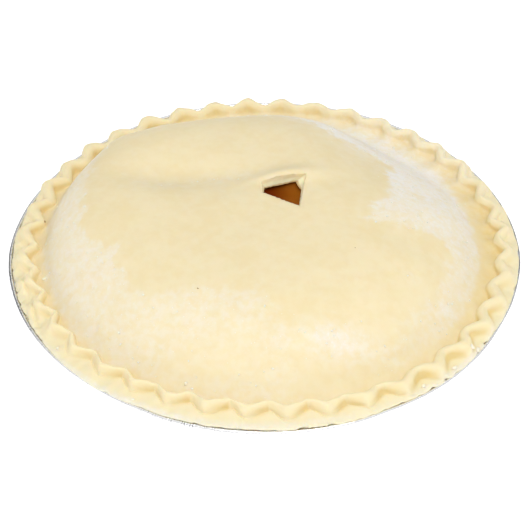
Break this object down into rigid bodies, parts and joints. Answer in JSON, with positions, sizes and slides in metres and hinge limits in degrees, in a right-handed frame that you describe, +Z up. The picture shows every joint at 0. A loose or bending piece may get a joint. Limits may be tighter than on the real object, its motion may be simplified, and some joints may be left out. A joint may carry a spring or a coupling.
{
  "type": "caramel apple pie",
  "caption": "Unbaked caramel apple pie with a domed pastry lid, a cut vent and a zigzag crimped edge, in a round foil tin.",
  "frame": {"origin": "on the table, under the middle of the tin's round base", "axes": "+Z up, through the middle of the tin; -Y towards the front of the pie, which the picture's camera faces; +X to the right"},
  "size_m": [0.254, 0.254, 0.0628],
  "materials": {
    "foil": "bright rolled foil",
    "raw_pastry": "pale floured raw dough",
    "caramel": "glossy brown caramel"
  },
  "bodies": {
    "root": {"foil_tin": "foil", "pastry_crust": "raw_pastry", "caramel_apple_filling": "caramel"}
  },
  "joints": []
}
